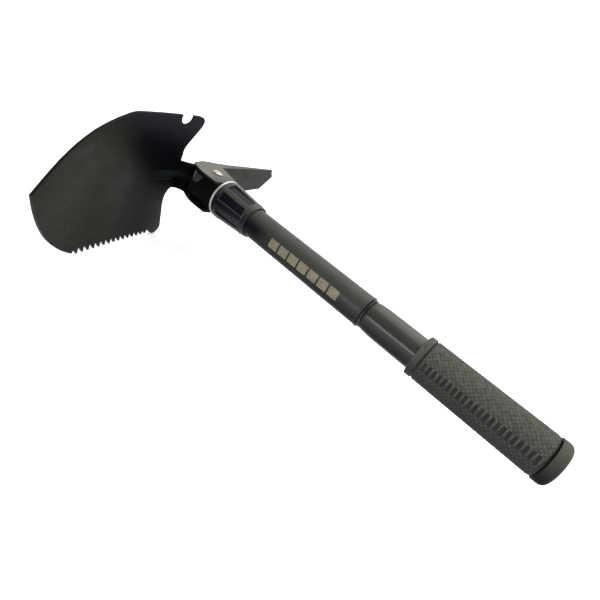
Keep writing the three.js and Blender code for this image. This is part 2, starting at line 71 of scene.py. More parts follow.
def smooth(t):
    """0 below 0, 1 above 1 and an even S between them."""
    t = min(1.0, max(0.0, t))
    return t * t * (3 - 2 * t)


# ---- camera: solved from the photograph ----

def make_camera():
    data = bpy.data.cameras.new("camera")
    data.sensor_width = 36
    data.lens = 26.4
    data.clip_start = 0.01
    camera = bpy.data.objects.new("camera", data)
    SCENE.collection.objects.link(camera)
    right = Vector((-0.70482, -0.54519, 0.45387))
    up = Vector((0.60141, -0.11992, 0.78989))
    back = Vector((-0.37621, 0.82968, 0.41241))
    turn = Matrix((right, up, back)).transposed().to_4x4()
    camera.matrix_world = Matrix.Translation((0.0563, 0.2324, 0.0939)) @ turn
    SCENE.camera = camera


make_camera()


# ---- shader helpers ----

class Shader:
    """A Principled material with a small set of node helpers."""

    def __init__(self, name, rough=0.5, metal=0.0, color=(0.5, 0.5, 0.5), **sockets):
        self.material = bpy.data.materials.new(name)
        self.material.use_nodes = True
        self.tree = self.material.node_tree
        self.main = self.tree.nodes["Principled BSDF"]
        self.main.inputs["Base Color"].default_value = (*color, 1)
        self.main.inputs["Roughness"].default_value = rough
        self.main.inputs["Metallic"].default_value = metal
        for key, value in sockets.items():
            self.main.inputs[key.replace("_", " ")].default_value = value
        self.coords = self.tree.nodes.new("ShaderNodeTexCoord").outputs["Object"]

    def node(self, kind, **inputs):
        made = self.tree.nodes.new(kind)
        for key, value in inputs.items():
            self.link(value, made.inputs[key.replace("_", " ")])
        return made

    def link(self, value, socket):
        if isinstance(value, bpy.types.NodeSocket):
            self.tree.links.new(value, socket)
        else:
            socket.default_value = value

    def noise(self, scale, detail=2.0, rough=0.5, stretch=None):
        vector = self.coords
        if stretch:
            mapping = self.node("ShaderNodeMapping", Vector=self.coords)
            mapping.inputs["Scale"].default_value = stretch
            vector = mapping.outputs["Vector"]
        made = self.node("ShaderNodeTexNoise", Vector=vector, Scale=scale, Detail=detail, Roughness=rough)
        return made.outputs["Fac"]

    def ramp(self, factor, *stops):
        made = self.node("ShaderNodeValToRGB", Fac=factor)
        elements = made.color_ramp.elements
        while len(elements) < len(stops):
            elements.new(0.5)
        for element, (at, value) in zip(elements, stops):
            element.position = at
            color = value if isinstance(value, tuple) else (value,) * 3
            element.color = (*color, 1)
        return made.outputs["Color"]

    def mix(self, factor, a, b):
        made = self.tree.nodes.new("ShaderNodeMix")
        made.data_type = "RGBA"
        self.link(factor, made.inputs["Factor"])
        for value, socket in ((a, made.inputs[6]), (b, made.inputs[7])):
            self.link((*value, 1) if isinstance(value, tuple) else value, socket)
        return made.outputs[2]

    def math(self, operation, a, b=0.0):
        made = self.tree.nodes.new("ShaderNodeMath")
        made.operation = operation
        self.link(a, made.inputs[0])
        self.link(b, made.inputs[1])
        return made.outputs[0]

    def times(self, a, b):
        return self.math("MULTIPLY", a, b)

    def minus(self, a, b):
        return self.math("SUBTRACT", a, b)

    def axis(self, name):
        return self.node("ShaderNodeSeparateXYZ", Vector=self.coords).outputs[name]

    def along(self, direction, start):
        """How far a point lies past start along a direction, in metres."""
        made = self.tree.nodes.new("ShaderNodeVectorMath")
        made.operation = "DOT_PRODUCT"
        self.link(self.coords, made.inputs[0])
        made.inputs[1].default_value = direction
        return self.minus(made.outputs["Value"], start)

    def step(self, value, low, high):
        """0 at low and 1 at high, with an even S between them; low may be the larger number."""
        made = self.tree.nodes.new("ShaderNodeMapRange")
        made.interpolation_type = "SMOOTHSTEP"
        self.link(value, made.inputs["Value"])
        made.inputs["From Min"].default_value = low
        made.inputs["From Max"].default_value = high
        return made.outputs["Result"]

    def facing_up(self, low=-0.2, high=0.9):
        """0 where the surface's normal has a Z under low, 1 where it is over high."""
        normal = self.tree.nodes.new("ShaderNodeTexCoord").outputs["Normal"]
        split = self.node("ShaderNodeSeparateXYZ", Vector=normal)
        return self.step(split.outputs["Z"], low, high)

    def facing_down(self, low, high):
        return self.minus(1.0, self.facing_up(low, high))

    def spot(self, x, y, radius_x, radius_y, inner, outer):
        """1 inside an ellipse about the origin of x and y, fading to 0 outside it."""
        across = self.math("POWER", self.math("DIVIDE", x, radius_x), 2)
        up = self.math("POWER", self.math("DIVIDE", y, radius_y), 2)
        reach = self.math("SQRT", self.math("ADD", across, up))
        return self.minus(1.0, self.step(reach, inner, outer))

    def attribute(self, name):
        made = self.tree.nodes.new("ShaderNodeAttribute")
        made.attribute_name = name
        return made.outputs["Fac"]

    def color(self, value):
        self.link(value, self.main.inputs["Base Color"])

    def rough(self, value):
        self.link(value, self.main.inputs["Roughness"])

    def gloss(self, value):
        self.link(value, self.main.inputs["Specular IOR Level"])

    def bump(self, *layers):
        """layers: (height, distance in metres, strength)"""
        normal = None
        for height, distance, strength in layers:
            made = self.node("ShaderNodeBump", Height=height, Distance=distance, Strength=strength)
            if normal:
                self.link(normal, made.inputs["Normal"])
            normal = made.outputs["Normal"]
        self.link(normal, self.main.inputs["Normal"])


# ---- finishes ----

DUST = (0.3, 0.3, 0.27)
# SHADE is the painted shade that undersides darken towards, and SHADED how much of it they take.
SHADE = (0.003, 0.003, 0.003)
SHADED = 0.8  # how much of a colour or a gloss an underside loses


def grained(s, rough, peel):
    """Baked paint's surface: orange peel, fine grain and dull scuffs."""
    scuff = s.noise(60, 4, 0.7, stretch=(1, 1, 3))
    s.rough(s.ramp(scuff, (0.3, rough - 0.07), (0.7, rough + 0.09)))
    s.bump((s.noise(1500, 2), peel, 0.5), (s.noise(260, 1), peel * 1.2, 0.35))
    return s


def drifting(s, color, spread=0.18, scale=22):
    """A colour that drifts a little lighter and darker over the surface."""
    dark = tuple(c * (1 - spread) for c in color)
    light = tuple(c * (1 + spread) for c in color)
    return s.ramp(s.noise(scale, 3), (0.32, dark), (0.68, light))


def dusted(s, base, amount):
    """Fine pale specks over a colour."""
    specks = s.ramp(s.noise(1100, 2, 0.6), (0.6, 0.0), (0.74, 1.0))
    return s.mix(s.times(specks, amount), base, DUST)


def painted(name, side, top, rough, peel=0.00006, gloss=0.2):
    """Baked paint with painted light: paler where it faces up, and dark and dull on its underside as
    painted shade.
    """
    s = Shader(name, rough=rough, Specular_IOR_Level=gloss)
    # Painted light: the side and top colours are a shaded and a lit copy of one paint.
    shade = s.mix(s.facing_up(), drifting(s, side), drifting(s, top))
    # Painted shade on the underside, in colour and in gloss.
    under = s.facing_down(-0.6, 0.08)
    shade = s.mix(s.times(under, SHADED), shade, SHADE)
    s.color(dusted(s, shade, 0.04))
    s.gloss(s.minus(gloss, s.times(under, SHADED * gloss)))
    return grained(s, rough, peel)


PICK_GLOSS = 0.07
HEAD_SHADE_REACH = 0.022  # how far the head shelters the pick, round the rivet


def pick_paint():
    """Dark grey paint with painted light: pale on the top plate towards the head, darker towards the nut
    and on its sides, and painted shade low round the rivet, in the shelter of the head.
    """
    s = Shader("pick_dark_grey", rough=0.5, Specular_IOR_Level=PICK_GLOSS)
    x, y, z = s.axis("X"), s.axis("Y"), s.axis("Z")
    # Painted light: the top plate runs from pale by the head to darker by the nut, and mid-grey towards
    # -Y.
    front = drifting(s, (0.128, 0.125, 0.106))
    rear = drifting(s, (0.062, 0.061, 0.054))
    wear_and_painted_light = s.mix(s.step(x, 0.266, 0.247), front, rear)
    wear_and_painted_light = s.mix(s.step(y, -0.014, -0.03), wear_and_painted_light, drifting(s, (0.088, 0.087, 0.075)))
    # Painted light: faces that don't face up are painted dark as shade.
    shade = s.mix(s.facing_up(), drifting(s, (0.011, 0.0115, 0.0095)), wear_and_painted_light)
    # Painted shade on the pick's lower part round the rivet, under the head.
    by_head = s.spot(s.minus(x, RIVET_X), y, HEAD_SHADE_REACH, HEAD_SHADE_REACH, 0.75, 1.05)
    low = s.times(by_head, s.step(z, -0.006, -0.0095))
    shade = s.mix(low, shade, (0.002, 0.002, 0.0018))
    s.color(dusted(s, shade, 0.07))
    s.gloss(s.minus(PICK_GLOSS, s.times(low, 0.055)))
    return grained(s, 0.5, 0.00009)


def plated(name, color, rough, turned_axis="X", metal=1.0):
    """Plated steel with fine turning lines and faint stains."""
    s = Shader(name, rough=rough, metal=metal)
    stain = s.noise(140, 4, 0.65)
    s.color(s.ramp(stain, (0.3, tuple(0.72 * c for c in color)), (0.7, color)))
    stretch = {"X": (6, 0.4, 0.4), "Z": (0.4, 0.4, 6)}[turned_axis]
    lines = s.noise(900, 2, 0.5, stretch=stretch)
    s.rough(s.ramp(s.noise(300, 3, 0.6), (0.3, rough - 0.08), (0.75, rough + 0.12)))
    s.bump((lines, 0.00004, 0.6))
    return s


BLADE_GLOSS = 0.05


def blade_paint():
    """Satin black with an olive cast and painted shade: it sinks to blue-black between the neck and the
    opener and darkens near the rivet, with a painted highlight along the rib.
    """
    s = Shader("blade_satin_black", rough=0.4, Specular_IOR_Level=BLADE_GLOSS)
    from_rivet = s.along(BLADE_ALONG, BLADE_ALONG.x * RIVET_X)
    height = s.axis("Z")
    # Painted shade: the corner and neck masks sink the colour to blue-black and take away gloss.
    slant = s.step(s.minus(from_rivet, height), 0.060, 0.029)
    corner = s.times(slant, s.step(height, -0.016, -0.004))
    neck = s.spot(s.minus(from_rivet, 0.008), height, 0.036, 0.020, 0.3, 1.4)
    deep = s.math("MAXIMUM", corner, neck)
    # Painted shade near the rivet.
    near = s.step(from_rivet, 0.085, 0.015)
    olive = drifting(s, (0.0086, 0.0085, 0.0064), 0.1, 14)
    olive = s.mix(near, olive, (0.0042, 0.0043, 0.0038))
    # The blue-black of the painted shade lightens further up the blade.
    black = s.mix(s.step(height, 0.018, 0.041), (0.0022, 0.0024, 0.0032), (0.0115, 0.0125, 0.0175))
    # A painted highlight along the rib's crest.
    rib = s.spot(s.minus(from_rivet, 0.022), s.minus(height, 0.0014), 0.024, 0.0026, 0.1, 1.2)
    shade = s.mix(s.times(rib, 0.8), s.mix(deep, olive, black), (0.0085, 0.0105, 0.0105))
    s.color(dusted(s, shade, 0.008))
    shine = s.minus(BLADE_GLOSS, s.times(deep, 0.036))
    s.gloss(s.minus(shine, s.times(near, 0.008)))
    return grained(s, 0.4, 0.00004)


TUBE_GLOSS = 0.2
PRINT_START = 0.1965
PRINT_END = 0.1375
PRINT_PITCH = 0.0084
PRINT_GAP = 0.16  # the share of a pitch that is left bare
PRINT_HALF = 0.0030
PRINT_CENTRE = 0.0004


def printed_bars(s):
    """1 on a row of plain bars along the tube's +Y side."""
    x, y, z = s.axis("X"), s.axis("Y"), s.axis("Z")
    run = s.math("DIVIDE", s.minus(PRINT_START, x), PRINT_PITCH)
    bar = s.math("GREATER_THAN", s.math("FRACT", run), PRINT_GAP)
    inside = s.times(s.math("LESS_THAN", x, PRINT_START), s.math("GREATER_THAN", x, PRINT_END))
    band = s.math("LESS_THAN", s.math("ABSOLUTE", s.minus(z, PRINT_CENTRE)), PRINT_HALF)
    front = s.math("GREATER_THAN", y, 0.0)
    return s.times(s.times(bar, inside), s.times(band, front))


def printed_tube_paint():
    """The upper tube's paint with painted light, paler where it faces up, and painted shade on its
    underside and, navy, on its lower faces by the nut; a row of plain tan bars is printed along it.
    """
    s = Shader("upper_tube_paint", rough=0.36, Specular_IOR_Level=TUBE_GLOSS)
    side = drifting(s, (0.0072, 0.0078, 0.0066))
    # Painted light: a shaded side colour and a lit top colour.
    paint = s.mix(s.facing_up(-0.3, 0.9), side, drifting(s, (0.042, 0.043, 0.036)))
    # Painted shade on the underside, in colour and in gloss.
    under = s.facing_down(-0.65, 0.0)
    paint = s.mix(s.times(under, SHADED), paint, (0.003, 0.003, 0.0026))
    # Navy painted shade on the faces by the nut that don't face up.
    by_nut = s.times(s.step(s.axis("X"), 0.196, 0.210), s.facing_down(0.1, 0.75))
    paint = s.mix(s.times(by_nut, SHADED), paint, (0.003, 0.0035, 0.0055))
    s.gloss(s.minus(TUBE_GLOSS, s.times(s.math("MAXIMUM", under, by_nut), 0.15)))
    wear_and_painted_light = s.ramp(s.noise(1400, 3, 0.7), (0.34, 0.35), (0.5, 1.0))
    tan = drifting(s, (0.17, 0.145, 0.093), 0.15, 300)
    s.color(s.mix(s.times(printed_bars(s), wear_and_painted_light), dusted(s, paint, 0.03), tan))
    return grained(s, 0.36, 0.00003)


def groove_metal():
    """The dark seat in the handle joint, with a few bright worn specks."""
    s = Shader("joint_seat", rough=0.5, metal=0.6)
    s.color(s.ramp(s.noise(160, 3, 0.6), (0.62, (0.012, 0.012, 0.011)), (0.72, (0.45, 0.43, 0.38))))
    s.rough(s.ramp(s.noise(400, 3, 0.6), (0.3, 0.4), (0.75, 0.6)))
    s.bump((s.noise(1200, 2), 0.00004, 0.5))
    return s


def spark_grain(s, low, high):
    """Moulded plastic's fine grain, with gloss that changes slowly between two roughnesses."""
    s.rough(s.ramp(s.noise(45, 3), (0.3, low), (0.7, high)))
    s.bump((s.noise(2600, 2), 0.00005, 0.45))
    return s


def moulded(name, dark, light, rough):
    """Plain moulded plastic or rubber."""
    s = Shader(name, rough=rough)
    s.color(s.ramp(s.noise(90, 3), (0.35, dark), (0.7, light)))
    return spark_grain(s, rough - 0.06, rough + 0.08)


def nut_plastic():
    """Black moulded plastic: navy-black, with painted shade that darkens its pockets and painted light
    that turns its ribs olive-grey where they face up.
    """
    s = Shader("nut_black_plastic", rough=0.36, Specular_IOR_Level=0.22)
    side = drifting(s, (0.0052, 0.0057, 0.0072), 0.2, 90)
    # Painted light: ribs that face up are olive-grey.
    rib = s.mix(s.facing_up(0.05, 0.95), side, (0.05, 0.05, 0.044))
    # Painted shade in the pockets, where the relief is low.
    s.color(s.mix(s.attribute("relief"), (0.0032, 0.0037, 0.0072), rib))
    return spark_grain(s, 0.3, 0.44)


def rubber(name, gap, side, top, rough):
    """Rubber: matte and mottled, paler on its crests and where it faces up, dark in its gaps: painted
    light on what faces up and painted shade in the gaps and on the underside.
    """
    s = Shader(name, rough=rough, Specular_IOR_Level=0.14)
    # Painted light: a shaded side colour and a lit top colour.
    skin = s.mix(s.facing_up(-0.35, 0.9), drifting(s, side, 0.25, 420), drifting(s, top, 0.3, 420))
    # Painted shade on the underside.
    under = s.facing_down(-0.65, 0.3)
    skin = s.mix(s.times(under, 0.85), skin, tuple(0.3 * c for c in side))
    # Painted shade in the gaps, where the relief is low.
    s.color(dusted(s, s.mix(s.attribute("relief"), gap, skin), 0.06))
    s.rough(s.ramp(s.noise(420, 3), (0.3, rough - 0.08), (0.7, rough + 0.06)))
    s.bump((s.noise(1900, 3, 0.6), 0.00012, 0.6))
    return s


MAT_BLADE = blade_paint()
MAT_PICK = pick_paint()
# The side and top colours given to painted() are a shaded and a lit copy of one paint: painted light.
MAT_BLOCK = painted("block_black", (0.003, 0.003, 0.0028), (0.011, 0.011, 0.01), 0.42, gloss=0.05)
MAT_TAB = painted("stop_tab_grey", (0.042, 0.048, 0.046), (0.08, 0.08, 0.074), 0.45)
MAT_TUBE = printed_tube_paint()
MAT_LOWER = painted("lower_tube_paint", (0.004, 0.0042, 0.0034), (0.033, 0.034, 0.026), 0.22,
                    peel=0.00001, gloss=0.3)
MAT_BRIGHT = plated("bright_steel", (0.84, 0.82, 0.76), 0.35, "X", metal=0.4)
MAT_RIVET = plated("rivet_steel", (0.5, 0.48, 0.42), 0.3, "Z")
MAT_ZINC = plated("zinc_steel", (0.42, 0.42, 0.38), 0.45, "X")
MAT_SEAT = groove_metal()
MAT_NUT = nut_plastic()
MAT_PLUG = moulded("plug_black_plastic", (0.01, 0.01, 0.01), (0.018, 0.018, 0.018), 0.45)
# The grip's gap colour is painted shade, and its side and top colours are painted light.
MAT_GRIP = rubber("grip_rubber", (0.013, 0.0135, 0.012), (0.032, 0.033, 0.028), (0.082, 0.08, 0.066), 0.62)
MAT_CAP = painted("cap_rubber", (0.015, 0.0155, 0.013), (0.064, 0.063, 0.05), 0.58, peel=0.0001, gloss=0.1)
MAT_SEAL = moulded("seal_black_rubber", (0.006, 0.006, 0.006), (0.014, 0.014, 0.013), 0.62)


# ---- the CAD nodes that are seen as they are ----

WELD_REACH = 0.002  # corners nearer than this are one, mm
EDGE_ANGLE = 30  # the least turn that counts as an edge, degrees


def soften(obj, bevel):
    """Welds a mesh's triangles and rounds its edges by bevel mm."""
    weld = obj.modifiers.new("weld", "WELD")
    weld.merge_threshold = WELD_REACH * MM
    edge = obj.modifiers.new("edge", "BEVEL")
    edge.width = bevel * MM
    edge.segments = 2
    edge.limit_method = "ANGLE"
    edge.angle_limit = math.radians(EDGE_ANGLE)


def shade_smooth(mesh):
    for face in mesh.polygons:
        face.use_smooth = True


def smooth_faces(mesh):
    """Clears the flat shading that the triangles came with."""
    for name in ("custom_normal", "sharp_edge", "sharp_face"):
        if name in mesh.attributes:
            mesh.attributes.remove(mesh.attributes[name])
    shade_smooth(mesh)


def dress(node, shader, bevel):
    """Gives a CAD node its material, soft edges and smooth shading."""
    obj = NODES[node]
    obj.data.materials.clear()
    obj.data.materials.append(shader.material)
    smooth_faces(obj.data)
    soften(obj, bevel)
    normals = obj.modifiers.new("normals", "WEIGHTED_NORMAL")
    normals.mode = "FACE_AREA_WITH_ANGLE"


for node, shader, bevel in (
    ("pick", MAT_PICK, 0.25),
    ("pivot_block", MAT_BLOCK, 0.3),
    ("pivot_rivet", MAT_RIVET, 0.12),
    ("rivet_washer", MAT_ZINC, 0.15),
    ("lock_ring", MAT_BRIGHT, 0.2),
    ("nut_insert", MAT_ZINC, 0.15),
    ("threaded_sleeve", MAT_ZINC, 0.1),
    ("cross_pin", MAT_ZINC, 0.15),
    ("upper_tube", MAT_TUBE, 0.1),
    ("joint_socket", MAT_ZINC, 0.15),
    ("joint_washer", MAT_SEAL, 0.08),
    ("joint_stud", MAT_SEAT, 0.1),
    ("lower_tube", MAT_LOWER, 0.1),
    ("cap_socket", MAT_PLUG, 0.15),
    ("cap_plug", MAT_PLUG, 0.1),
    ("cap_washer", MAT_SEAL, 0.1),
    ("end_cap", MAT_CAP, 0.15),
):
    dress(node, shader, bevel)


def new_piece(name, mesh, shader):
    """A piece of this script's own, with its material, in the scene."""
    mesh.materials.clear()
    mesh.materials.append(shader.material)
    piece = bpy.data.objects.new(name, mesh)
    SCENE.collection.objects.link(piece)
    return piece


# ---- blade: the pressed sheet, with its dished faces shaded as the one smooth curve that they are ----

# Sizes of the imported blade, mm: a runs from the rivet towards the point, and m square to the sheet.
BLADE_OFFSET = 22.4
BLADE_SHEET = 1.6
BLADE_TIP = 135.8
DISH_DEPTH = 6
DISH_ROOT = 14
DISH_CREST = 60
DISH_REACH = 46
DISH_FADE = 60
DISH_LEFT = 0.15  # the share of the dish that is left at the point
ON_SHEET = 0.09  # how near the curve a facet of the sheet lies
ALIKE = 0.96  # the least cosine between a facet and the curve it stands for
NUDGE = 0.1  # the reach each way that a slope is taken over
BLADE_BEVEL = 0.22
FLARE_FROM = 13.8
FLARE_LOW = 9.75
FLARE_HIGH = 15.4


def dish(a, z):
    rise = smooth((a - DISH_ROOT) / (DISH_CREST - DISH_ROOT))
    fall = smooth((BLADE_TIP - a) / DISH_FADE + DISH_LEFT)
    return DISH_DEPTH * (rise * fall) * max(0.0, 1 - (z / DISH_REACH) ** 2)


def from_rivet(point):
    """A point's place on the blade, mm: a, m and z."""
    reach = (point - Vector((RIVET_X, 0, 0))) / MM
    return reach.dot(BLADE_ALONG), reach.dot(BLADE_OUT), reach.z


def blade_normal(point, facet):
    """The sheet's own normal at a point of either face, or the facet's if the point isn't on one."""
    a, m, z = from_rivet(point)
    back = BLADE_OFFSET + dish(a, z)
    if min(abs(m - back), abs(m - back + BLADE_SHEET)) > ON_SHEET:
        return facet
    slope_a = (dish(a + NUDGE, z) - dish(a - NUDGE, z)) / (2 * NUDGE)
    slope_z = (dish(a, z + NUDGE) - dish(a, z - NUDGE)) / (2 * NUDGE)
    normal = (BLADE_OUT - slope_a * BLADE_ALONG - slope_z * Vector((0, 0, 1))).normalized()
    if abs(normal.dot(facet)) < ALIKE:
        return facet
    return normal if normal.dot(facet) > 0 else -normal


def trim_flare(mesh):
    """Keeps the neck's flare off the bend, where it would graze the pick's plate when folded ahead."""
    for vertex in mesh.vertices:
        a = from_rivet(vertex.co)[0]
        if a < FLARE_FROM and FLARE_LOW * MM < vertex.co.z < FLARE_HIGH * MM:
            vertex.co.z = FLARE_LOW * MM


def softened_copy(node, bevel):
    """A new mesh of a CAD node with its edges rounded; the node keeps its own."""
    rough = bpy.data.objects.new("rough", NODES[node].data.copy())
    SCENE.collection.objects.link(rough)
    smooth_faces(rough.data)
    soften(rough, bevel)
    graph = bpy.context.evaluated_depsgraph_get()
    mesh = bpy.data.meshes.new_from_object(rough.evaluated_get(graph))
    bpy.data.objects.remove(rough)
    return mesh


def make_blade():
    mesh = softened_copy("blade", BLADE_BEVEL)
    trim_flare(mesh)
    normals = []
    for face in mesh.polygons:
        for vertex in face.vertices:
            normals.append(blade_normal(mesh.vertices[vertex].co, face.normal))
    mesh.normals_split_custom_set(normals)
    mesh.name = "blade_sheet"
    piece = new_piece("blade_sheet", mesh, MAT_BLADE)
    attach(piece, "blade_arm")
    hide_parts("blade")


make_blade()


# ---- turned pieces with a relief ----

def relief_sleeve(name, stations, shape, bore, around, shader):
    """A closed sleeve round X. shape(x, angle) gives its outer radius in mm and how raised it is,
    0 to 1, with the angle from +Y to +Z. The second is kept on the points as "relief"."""
    mesh = bpy.data.meshes.new(name)
    rings = []
    for x in stations:
        rings.append([(x, *shape(x, TAU * j / around)) for j in range(around)])
    rings.append([(stations[-1], bore, 1.0)] * around)
    rings.append([(stations[0], bore, 1.0)] * around)
    points = []
    raised = []
    for ring in rings:
        for j, (x, r, relief) in enumerate(ring):
            angle = TAU * j / around
            points.append((x * MM, r * math.cos(angle) * MM, r * math.sin(angle) * MM))
            raised.append(relief)
    faces = []
    count = len(rings)
    for i in range(count):
        for j in range(around):
            k = (j + 1) % around
            a, b = i * around, ((i + 1) % count) * around
            faces.append((a + j, a + k, b + k, b + j))
    mesh.from_pydata(points, [], faces)
    mesh.update()
    mesh.attributes.new("relief", "FLOAT", "POINT").data.foreach_set("value", raised)
    shade_smooth(mesh)
    return new_piece(name, mesh, shader)


FINE_STEP = 0.12  # between stations where an end is rounded, mm


def span(start, end, step):
    """Even stations from start to end, about step apart."""
    count = max(1, round((end - start) / step))
    return [start + (end - start) * i / count for i in range(count + 1)]


def node_span(node):
    """Where a CAD node starts and ends along X, mm."""
    low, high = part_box(node)
    return low[0] / MM, high[0] / MM


def rounding(distance, size):
    """How far a corner of this size has fallen at a distance from the end."""
    return size * (1 - math.sqrt(max(0.0, 1 - max(0.0, 1 - distance / size) ** 2)))


def sharpen(piece, degrees):
    """Keeps the edges steeper than this sharp while the rest shades smoothly."""
    piece.data.set_sharp_from_angle(angle=math.radians(degrees))


# ---- grip: pyramids all round, and two strips of short ribs ----

GRIP_START, GRIP_END = node_span("grip_sleeve")
GRIP_R = 12.5
GRIP_BORE = 10.2
GRIP_AROUND = 220
COLLAR = 4.1
COLLAR_RISE = 0.15
COLLAR_EDGE = 0.35
GROOVE = 0.6
GROOVE_DEPTH = 0.8
FRONT_ROUND = 0.8
REAR_ROUND = 0.7
FLOOR_DEPTH = 0.45  # the pattern's floor below the grip's radius
PYRAMID_PITCH = 2.7
PYRAMIDS_ROUND = 29
PYRAMID_RISE = 0.5
PYRAMID_TOP = 1.3  # over 1, so that a pyramid has a small flat top
RIB_PITCH = 3.1
RIB_RISE = 0.75
RIB_SINK = 0.3  # how far the gaps between the ribs lie below the floor
RIB_HALF = 0.3  # half a rib, as a share of the pitch
RIB_FLANK = 0.14
RIB_STRIP = 0.21  # half width of a strip, radians
STRIP_TURN = 0.07  # the strips' turn from +Y and -Y, radians


def grip_shape(x, angle):
    front = GRIP_END - x
    rear = x - GRIP_START
    if front < COLLAR:
        back_edge = COLLAR_EDGE * (1 - smooth((COLLAR - front) / 0.4))
        return GRIP_R + COLLAR_RISE - rounding(front, FRONT_ROUND) - back_edge, 0.75
    if front < COLLAR + GROOVE:
        return GRIP_R - GROOVE_DEPTH, 0.0
    base = GRIP_R - FLOOR_DEPTH
    fade = smooth((front - COLLAR - GROOVE) / 0.7) * smooth((rear - 0.8) / 0.9)
    from_strip = abs(math.remainder(angle - STRIP_TURN, math.pi))
    strip = smooth((RIB_STRIP + 0.03 - from_strip) / 0.05)
    s = x / PYRAMID_PITCH + angle * PYRAMIDS_ROUND / TAU
    t = x / PYRAMID_PITCH - angle * PYRAMIDS_ROUND / TAU
    edge = max(abs(s - math.floor(s) - 0.5), abs(t - math.floor(t) - 0.5))
    pyramid = smooth((1 - 2 * edge) * PYRAMID_TOP)
    along = abs(math.remainder(x, RIB_PITCH)) / RIB_PITCH
    rib = smooth((RIB_HALF - along) / RIB_FLANK)
    lift = (1 - strip) * PYRAMID_RISE * pyramid + strip * (RIB_RISE * rib - RIB_SINK)
    relief = (1 - strip) * (0.68 + 0.32 * pyramid) + strip * rib
    return base + fade * lift - rounding(rear, REAR_ROUND), fade * relief


def make_grip():
    steps = span(GRIP_START, GRIP_END - COLLAR - GROOVE, 0.42)
    steps += span(GRIP_END - COLLAR - GROOVE + 0.05, GRIP_END - COLLAR - 0.05, 0.4)
    steps += span(GRIP_END - COLLAR + 0.01, GRIP_END - 0.8, 0.3)
    steps += span(GRIP_END - 0.7, GRIP_END, FINE_STEP)
    piece = relief_sleeve("grip_rubber", steps, grip_shape, GRIP_BORE, GRIP_AROUND, MAT_GRIP)
    sharpen(piece, 50)
    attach(piece, "lower_handle")
    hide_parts("grip_sleeve")


make_grip()


# ---- lock nut: pockets that are deep at the head end and die out towards the rear ----

NUT_REAR, NUT_FRONT = node_span("lock_nut")
NUT_HEAD_R = 13.6
NUT_REAR_R = 11.6
NUT_BORE = 11.6
NUT_REAR_BORE = 10.4
NUT_AROUND = 240
NUT_ROUND = 0.8
NUT_POCKETS = 8
NUT_RIM = 3.6
NUT_PARALLEL = 7  # the length behind the front face that doesn't taper
POCKET_HALF = 3.0
POCKET_NARROWS = 0.5
POCKET_FLANK = 0.6
POCKET_START = 4.2
POCKET_DEPTH = 0.45
POCKET_DEEPENS = 0.95
REAR_COLLAR = 3.4
REAR_STEP = 0.35


def nut_shape(x, angle):
    along = x - NUT_REAR
    front = NUT_FRONT - x
    cone = min(1.0, along / (NUT_FRONT - NUT_PARALLEL - NUT_REAR))
    base = NUT_REAR_R + (NUT_HEAD_R - NUT_REAR_R) * cone
    pitch = TAU / NUT_POCKETS
    beside = abs(math.remainder(angle - pitch / 2, pitch)) * base
    wide = POCKET_HALF - POCKET_NARROWS * (1 - cone)
    across = smooth((wide - beside) / POCKET_FLANK + 0.5)
    pocket = across * smooth((front - NUT_RIM) / 0.7) * smooth((along - POCKET_START) / 1.6)
    depth = POCKET_DEPTH + POCKET_DEEPENS * cone
    collar = REAR_STEP * (1 - smooth((along - REAR_COLLAR) / 0.5))
    ends = rounding(along, NUT_ROUND) + rounding(front, NUT_ROUND)
    return base - pocket * depth - collar - ends, 1 - pocket


def draw_in_rear(mesh):
    """Draws the shell's rear rim in until it dips into the tube, so that no gap shows."""
    for vertex in mesh.vertices:
        radius = math.hypot(vertex.co.y, vertex.co.z)
        if vertex.co.x < (NUT_REAR + 0.01) * MM and radius < (NUT_BORE + 0.01) * MM:
            vertex.co.y *= NUT_REAR_BORE / NUT_BORE
            vertex.co.z *= NUT_REAR_BORE / NUT_BORE


def make_nut():
    steps = span(NUT_REAR, NUT_REAR + 0.8, FINE_STEP)
    steps += span(NUT_REAR + 1.1, NUT_FRONT - NUT_RIM - 1.1, 0.34)
    steps += span(NUT_FRONT - NUT_RIM - 1, NUT_FRONT - NUT_RIM + 0.1, FINE_STEP)
    steps += span(NUT_FRONT - NUT_RIM + 0.5, NUT_FRONT - 0.8, 0.5)
    steps += span(NUT_FRONT - 0.7, NUT_FRONT, FINE_STEP)
    piece = relief_sleeve("nut_shell", steps, nut_shape, NUT_BORE, NUT_AROUND, MAT_NUT)
    draw_in_rear(piece.data)
    sharpen(piece, 55)
    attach(piece, "nut_turner")
    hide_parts("lock_nut")


make_nut()


# ---- the stop tab on the block's side, and a pad round the block's nose ----

SIDE = 12.0
NOSE_R = 13.9
NOSE_ANGLE = math.asin(SIDE / NOSE_R)
FLAT_END = NOSE_R * math.cos(NOSE_ANGLE)
BURIED = 0.6  # how deep a patch's back lies in the block
TAB_OUTLINE = ((-0.6, 9.5), (0.4, 6.4), (2.8, 2.3), (4.4, 1.0), (6.8, 1.4), (14.8, 3.2), (14.8, 9.5))
TAB_ON_FLAT = 0.45
TAB_ON_NOSE = 0.18
TAB_ROOT = 0.25  # how deep the skin beside the tab lies
TAB_FLANK = 0.6
TAB_STEP = 0.22
PAD_LIFT = 0.32
PAD_STEP = 0.6


def block_skin(s, z, lift):
    """A point on the block's +Y side, s mm past the rivet, running on round the nose."""
    if s < FLAT_END:
        return (RIVET + s, SIDE + lift, z)
    angle = NOSE_ANGLE - (s - FLAT_END) / NOSE_R
    r = NOSE_R + lift
    return (RIVET + r * math.cos(angle), r * math.sin(angle), z)


